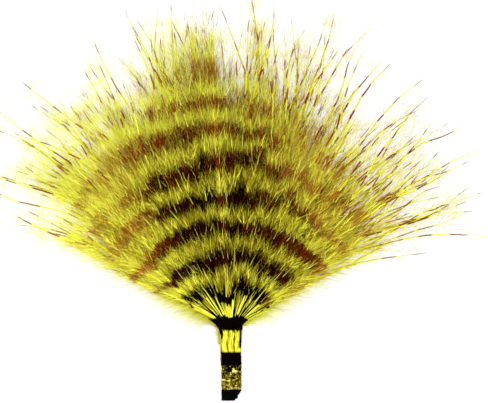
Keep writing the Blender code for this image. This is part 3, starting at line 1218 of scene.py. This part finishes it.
def closed_skin(name, grid, material):
    """A mesh object from rings of points, with flat ends closed by fans."""
    rings, sides = grid.shape[:2]
    ring, side = np.meshgrid(np.arange(rings - 1) * sides, np.arange(sides), indexing="ij")
    after = (side + 1) % sides
    quads = np.stack((ring + side, ring + after, ring + sides + after, ring + sides + side), axis=-1)
    ends = np.stack((grid[0].mean(axis=0), grid[-1].mean(axis=0)))
    places = np.concatenate((grid.reshape(-1, 3), ends)) * MM
    first_end = np.full(sides, rings * sides)
    around = np.arange(sides)
    beside = (around + 1) % sides
    low = (rings - 1) * sides
    top = np.stack((first_end, beside, around), axis=1)
    bottom = np.stack((first_end + 1, low + around, low + beside), axis=1)
    faces = quads.reshape(-1, 4).tolist() + top.tolist() + bottom.tolist()
    mesh = bpy.data.meshes.new(name)
    mesh.from_pydata(places.tolist(), [], faces)
    mesh.materials.append(material)
    mesh.shade_smooth()
    mesh.update()
    return in_scene(name, mesh)


def glue_material(settings):
    """Glossy glue, marbled green at its top, then gold, and black below a ragged line.
    Its cream threads are partly painted highlight, and the flecks in its black end are painted glints.
    """
    material, tree, shader = new_material("hardened_glue")
    coordinates = node(tree, "ShaderNodeTexCoord")
    parts = node(tree, "ShaderNodeSeparateXYZ")
    tree.links.new(coordinates.outputs["Object"], parts.inputs["Vector"])

    def noise(size, detail, distortion):
        made = node(tree, "ShaderNodeTexNoise")
        tree.links.new(coordinates.outputs["Object"], made.inputs["Vector"])
        for name, value in (("Scale", 1 / (size * MM)), ("Detail", detail), ("Distortion", distortion)):
            made.inputs[name].default_value = value
        return made.outputs["Fac"]

    marble = noise(1.3, 3.0, 1.6)
    green_from = (NECK_Y + GREEN_ABOVE) * MM
    upper = map_range(tree, parts.outputs["Y"], green_from - 0.6 * MM, green_from + 0.6 * MM)
    dark, brown, green = settings.green_black, settings.brown, settings.green
    # The cream at the marble's peaks is partly painted highlight on the gloss.
    gold_stops = ((0.37, dark), (0.45, brown), (0.57, settings.gold), (0.70, settings.cream_and_highlight))
    green_stops = ((0.51, dark), (0.55, green), (0.60, settings.gold), (0.66, settings.cream_and_highlight))
    golds = ramp_node(tree, marble, gold_stops)
    greens = ramp_node(tree, marble, green_stops)
    mottled = mix_colours(tree, upper, golds, greens)
    ragged = math_node(tree, "MULTIPLY_ADD", noise(1.2, 2.0, 0.5), 0.6 * MM, -0.3 * MM)
    height = math_node(tree, "ADD", parts.outputs["Y"], ragged)
    black_end = math_node(tree, "LESS_THAN", height, NECK_Y * MM - settings.black_from)
    # Painted highlight: brown flecks in the black end stand in for glints on its gloss.
    painted_glints = ramp_node(tree, noise(0.9, 4.0, 1.0), ((0.66, dark), (0.74, brown)))
    colour = mix_colours(tree, black_end, mottled, painted_glints)
    tree.links.new(colour, shader.inputs["Base Color"])
    shader.inputs["Roughness"].default_value = 0.28
    shader.inputs["Specular IOR Level"].default_value = 0.012
    return material


class MARABOU_OT_glued_butt(bpy.types.Operator):
    """Make the crinkled block of hardened glue around the quill ends"""

    bl_idname = "marabou.glued_butt"
    bl_label = "Glued butt"
    bl_options = {"REGISTER", "UNDO"}

    def execute(self, context):
        settings = context.scene.marabou_butt
        piece = closed_skin("butt_glue", glued_skin(settings), glue_material(settings))
        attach(piece, "root")
        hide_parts("glued_butt")
        return {"FINISHED"}


def plume_plan(context, layer, number, count):
    """The numbers that one plume is grown from, in millimetres.

    The edge is -1 for the outermost plume at the left, 1 for that at the right, and else 0.
    """
    settings = context.scene.marabou_plumes
    dye = context.scene.marabou_dye
    front = LAYERS[layer][0] == "front"
    edge = {0: -1, count - 1: 1}.get(number, 0)
    middle = (2 * number + 1 - count) * PLUME_SHARE
    return SimpleNamespace(
        layer=layer,
        middle=middle,
        phase=2.0 * layer,
        patch_shifts=np.random.default_rng(settings.seed).normal(0.0, 1.0, (PATCHES, BARS)),
        turn=settings.fan_half_angle,
        stem_half=settings.stem_width / MM / 2,
        long_barbs=settings.long_barbs - round(FEWER_LONG_AT_SIDES * abs(middle)),
        filling_barbs=round(settings.filling_barbs * (FILLING_SHARE_AT_RIGHT if edge > 0 else 1.0)),
        short_barbs=settings.short_barbs if front else 1,
        barbules=settings.barbules,
        barbule_length=settings.barbule_length / MM,
        thickness=settings.barb_thickness / MM,
        tip_hairs=TIP_HAIRS_AT_LEFT if middle < -0.3 else TIP_HAIRS,
        glints=GLINTS if front else 0,
        pale_share=HIGHLIGHT_SHARE if front else 0.0,
        edge=edge,
        edge_hairs={-1: EDGE_HAIRS_AT_LEFT, 0: 0, 1: EDGE_HAIRS_AT_RIGHT}[edge],
        bar_spacing=dye.bar_spacing / MM,
        first_bar=dye.first_bar / MM,
        bar_shift=FRONT_BAR_SHIFTS[number] if front else 0.0,
        tuft=front and number == TUFT_PLUME,
        seed=settings.seed * 1000 + layer * 100 + number,
    )


def barb_tubes(barbs, lines):
    """The barbs as tubes, each place in the map's band for dark bars or for brownish ones.

    The bars are dark on the short barbs, near the neck, on the long barbs' spines and on the
    share of the others that bar_strength gives.
    """
    line, along, dyed, tone, across = lines
    dark = (column(barbs.kind) == SHORT) | (column(barbs.darkness) < bar_strength(across, along))
    dark = dark | (column(barbs.kind) == LONG) & (along > 58.0) | (along < 8.0)
    return shafts(line, dyed, tone_on_map(tone, dark), barb_radius(barbs, along))


def grow_plume(context, layer, number, count):
    """Grows one plume's barbs and down and puts it in place of its solid."""
    plan = plume_plan(context, layer, number, count)
    rng = np.random.default_rng(plan.seed)
    barbs = barb_table(plan, rng)
    lines = barb_lines(barbs, plan)
    parts = [barb_tubes(barbs, lines)]
    parts.append(down(barbs, lines, plan, rng))
    parts.append(tip_hairs(barbs, lines, plan, rng))
    if plan.edge:
        parts.append(edge_down(plan, rng))
    if plan.glints:
        parts.append(glints(plan, rng))
    if plan.edge < 0 and plan.layer == 1:
        parts.append(loose_strands(plan, rng))
    node_name = f"{LAYERS[layer][0]}_plume_{number + 1}"
    piece = mesh_piece(f"{node_name}_down", *joined(parts), dyed_down(context.scene.marabou_dye))
    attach(piece, "root")
    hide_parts(node_name)


def grow_layer(context, layer):
    """Grows all the plumes of one layer."""
    count = LAYERS[layer][1]
    for number in range(count):
        grow_plume(context, layer, number, count)


class MARABOU_OT_back_plumes(bpy.types.Operator):
    """Grow the nine plumes of the back layer"""

    bl_idname = "marabou.back_plumes"
    bl_label = "Back plumes"
    bl_options = {"REGISTER", "UNDO"}

    def execute(self, context):
        grow_layer(context, 0)
        return {"FINISHED"}


class MARABOU_OT_middle_plumes(bpy.types.Operator):
    """Grow the eight plumes of the middle layer"""

    bl_idname = "marabou.middle_plumes"
    bl_label = "Middle plumes"
    bl_options = {"REGISTER", "UNDO"}

    def execute(self, context):
        grow_layer(context, 1)
        return {"FINISHED"}


class MARABOU_OT_front_plumes(bpy.types.Operator):
    """Grow the nine plumes of the front layer"""

    bl_idname = "marabou.front_plumes"
    bl_label = "Front plumes"
    bl_options = {"REGISTER", "UNDO"}

    def execute(self, context):
        grow_layer(context, 2)
        return {"FINISHED"}


class MARABOU_OT_stage(bpy.types.Operator):
    """Set up the floor, the lights and the camera straight above the bunch"""

    bl_idname = "marabou.stage"
    bl_label = "Stage"
    bl_options = {"REGISTER", "UNDO"}

    def execute(self, context):
        settings = context.scene.marabou_stage
        lay_floor(settings)
        light_stage(context.scene)
        place_camera(context.scene, settings)
        context.scene.view_settings.view_transform = "Standard"
        return {"FINISHED"}


def lay_floor(settings):
    """A wide flat floor under the bunch, which gives most of its brightness itself."""
    half = FLOOR_HALF
    corners = [(-half, -half, 0), (half, -half, 0), (half, half, 0), (-half, half, 0)]
    mesh = bpy.data.meshes.new("floor")
    mesh.from_pydata(corners, [], [(0, 1, 2, 3)])
    material, _, shader = new_material("pale_floor")
    shader.inputs["Base Color"].default_value = (*settings.floor_colour, 1.0)
    shader.inputs["Roughness"].default_value = 0.9
    shader.inputs["Specular IOR Level"].default_value = 0.1
    shader.inputs["Emission Color"].default_value = (1.0, 1.0, 1.0, 1.0)
    shader.inputs["Emission Strength"].default_value = settings.floor_glow
    mesh.materials.append(material)
    in_scene("floor", mesh)


def light_stage(scene):
    """An even white sky and two soft lamps above."""
    world = bpy.data.worlds.new("studio")
    world.use_nodes = True
    sky = world.node_tree.nodes["Background"]
    sky.inputs["Color"].default_value = (1.0, 1.0, 1.0, 1.0)
    sky.inputs["Strength"].default_value = SKY_STRENGTH
    scene.world = world
    for name, place, size, power in LAMPS:
        lamp = bpy.data.lights.new(name, "AREA")
        lamp.size = size
        lamp.energy = power
        made = in_scene(name, lamp)
        made.location = place
        aim = -made.location
        made.rotation_euler = aim.to_track_quat("-Z", "Y").to_euler()


def place_camera(scene, settings):
    """A long lens straight above, framed so that one pixel is the stated size at mid height."""
    middle_x = (PHOTO_WIDTH_PX / 2 - NECK_PX[0]) * settings.pixel_size
    middle_y = NECK_Y * MM + (NECK_PX[1] - PHOTO_HEIGHT_PX / 2) * settings.pixel_size
    width = PHOTO_WIDTH_PX * settings.pixel_size
    lens = bpy.data.cameras.new("camera")
    lens.sensor_width = SENSOR_WIDTH
    lens.lens = SENSOR_WIDTH * (settings.camera_height - SHARP_HEIGHT) / width
    made = in_scene("camera", lens)
    made.location = (middle_x, middle_y, settings.camera_height)
    scene.camera = made


class MARABOU_PT_panel(bpy.types.Panel):
    """Lists the operators that build the bunch"""

    bl_idname = "MARABOU_PT_panel"
    bl_label = "Marabou bunch"
    bl_space_type = "VIEW_3D"
    bl_region_type = "UI"
    bl_category = "Marabou"

    def draw(self, context):
        for operator in OPERATORS:
            self.layout.operator(operator.bl_idname)


SETTINGS = {
    "marabou_plumes": PlumeSettings,
    "marabou_dye": DyeSettings,
    "marabou_butt": ButtSettings,
    "marabou_stage": StageSettings,
}
OPERATORS = (
    MARABOU_OT_back_plumes,
    MARABOU_OT_middle_plumes,
    MARABOU_OT_front_plumes,
    MARABOU_OT_glued_butt,
    MARABOU_OT_stage,
)


def register():
    """Registers the settings, the operators and the panel."""
    for made in (*SETTINGS.values(), *OPERATORS, MARABOU_PT_panel):
        bpy.utils.register_class(made)
    for name, group in SETTINGS.items():
        setattr(bpy.types.Scene, name, bpy.props.PointerProperty(type=group))


def unregister():
    """Undoes register."""
    for name in SETTINGS:
        delattr(bpy.types.Scene, name)
    for made in (MARABOU_PT_panel, *reversed(OPERATORS), *reversed(SETTINGS.values())):
        bpy.utils.unregister_class(made)


def main():
    """Builds everything in order."""
    register()
    bpy.ops.marabou.back_plumes()
    bpy.ops.marabou.middle_plumes()
    bpy.ops.marabou.front_plumes()
    bpy.ops.marabou.glued_butt()
    bpy.ops.marabou.stage()


if __name__ == "__main__":
    main()
